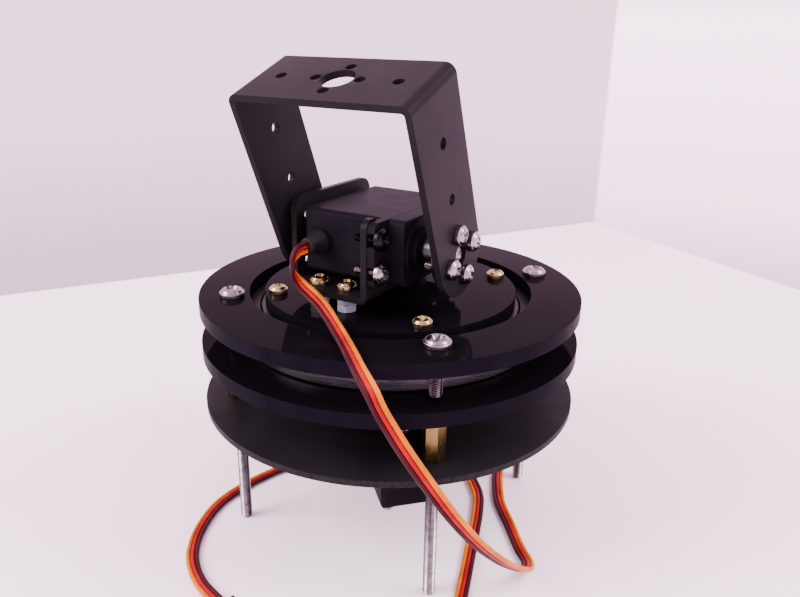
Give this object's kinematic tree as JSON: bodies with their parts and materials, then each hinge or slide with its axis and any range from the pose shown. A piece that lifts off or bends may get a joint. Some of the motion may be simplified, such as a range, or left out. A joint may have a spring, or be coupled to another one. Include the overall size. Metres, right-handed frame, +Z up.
{
  "type": "pan tilt camera mount",
  "caption": "Two-axis servo mount: a bearing-borne turntable in round black plates on long screw legs, carrying a tilting U bracket for a camera.",
  "frame": {"origin": "on the surface it stands on, on the pan axis, midway between the four leg ends", "axes": "+Z up along the pan axis, +X along the tilt axis from the pivot screw towards the tilt servo's horn, -Y the way the U bracket leans at rest"},
  "size_m": [0.1251, 0.1447, 0.1563],
  "materials": {
    "black_acrylic": "gloss black acrylic",
    "black_anodised": "satin black anodised aluminium",
    "black_board": "matt black sheet",
    "board_green": "solder mask",
    "boot_rubber": "matt",
    "brass": "machined",
    "horn_aluminium": "machined",
    "lead_wires": "orange, red and brown insulation",
    "motor_can": "plated",
    "plug_plastic": "moulded",
    "seal_rubber": "matt",
    "servo_plastic": "fine moulded",
    "shaft_brass": "machined",
    "steel": "polished",
    "yellow_zinc": "yellow zinc plated"
  },
  "bodies": {
    "base": {"top_ring": "black_acrylic", "middle_ring": "black_acrylic", "lower_plate": "black_board", "leg_screws": "steel", "leg_standoffs": "brass", "leg_nuts": "steel", "bearing_outer_race": "steel", "bearing_seals": "seal_rubber", "pan_servo_case": "servo_plastic", "pan_servo_base_cap": "servo_plastic", "pan_servo_top_cap": "servo_plastic", "pan_servo_case_screws": "steel", "pan_servo_boot": "boot_rubber", "pan_servo_motor": "motor_can", "pan_servo_board": "board_green", "pan_mount_screws": "steel", "pan_mount_nuts": "steel", "pan_lead": "lead_wires", "pan_plug": "plug_plastic", "tilt_lead": "lead_wires", "tilt_plug": "plug_plastic"},
    "ball_cage": {"bearing_cage": "brass", "bearing_balls": "steel"},
    "turntable": {"bearing_inner_race": "steel", "pan_servo_shaft": "shaft_brass", "turntable_disc": "black_acrylic", "hub_plate": "black_acrylic", "horn_spacer": "black_acrylic", "disc_screws": "yellow_zinc", "disc_nuts": "steel", "pan_horn": "horn_aluminium", "pan_horn_screws": "steel", "pan_horn_centre_screw": "steel", "servo_bracket": "black_anodised", "bracket_screws": "yellow_zinc", "bracket_spacer_nuts": "steel", "bracket_nuts": "steel", "tilt_servo_case": "servo_plastic", "tilt_servo_base_cap": "servo_plastic", "tilt_servo_top_cap": "servo_plastic", "tilt_servo_case_screws": "steel", "tilt_servo_boot": "boot_rubber", "tilt_servo_motor": "motor_can", "tilt_servo_board": "board_green", "ear_screws": "steel", "pivot_cup": "steel"},
    "tilt_frame": {"tilt_servo_shaft": "shaft_brass", "pivot_sleeve": "steel", "pivot_spacer": "steel", "pivot_screw": "steel", "pivot_nut": "steel", "u_bracket": "black_anodised", "tilt_horn": "horn_aluminium", "tilt_horn_screws": "steel", "tilt_horn_centre_screw": "steel"}
  },
  "joints": [
    {"name": "pan", "type": "hinge", "parent": "base", "child": "turntable", "pos_m": [0, 0, 0.083], "axis": [0, 0, 1], "range_deg": [-90, 90], "deforming": ["tilt_lead"]},
    {"name": "cage_turn", "type": "hinge", "parent": "base", "child": "ball_cage", "pos_m": [0, 0, 0.0739], "axis": [0, 0, 1], "range_deg": [-45, 45]},
    {"name": "tilt", "type": "hinge", "parent": "turntable", "child": "tilt_frame", "pos_m": [0.004, -0.0153, 0.103], "axis": [1, 0, 0], "range_deg": [-112.5, 67.5]}
  ],
  "couplings": [
    {"joint": "cage_turn", "follows": "pan", "ratio": 0.4694}
  ]
}
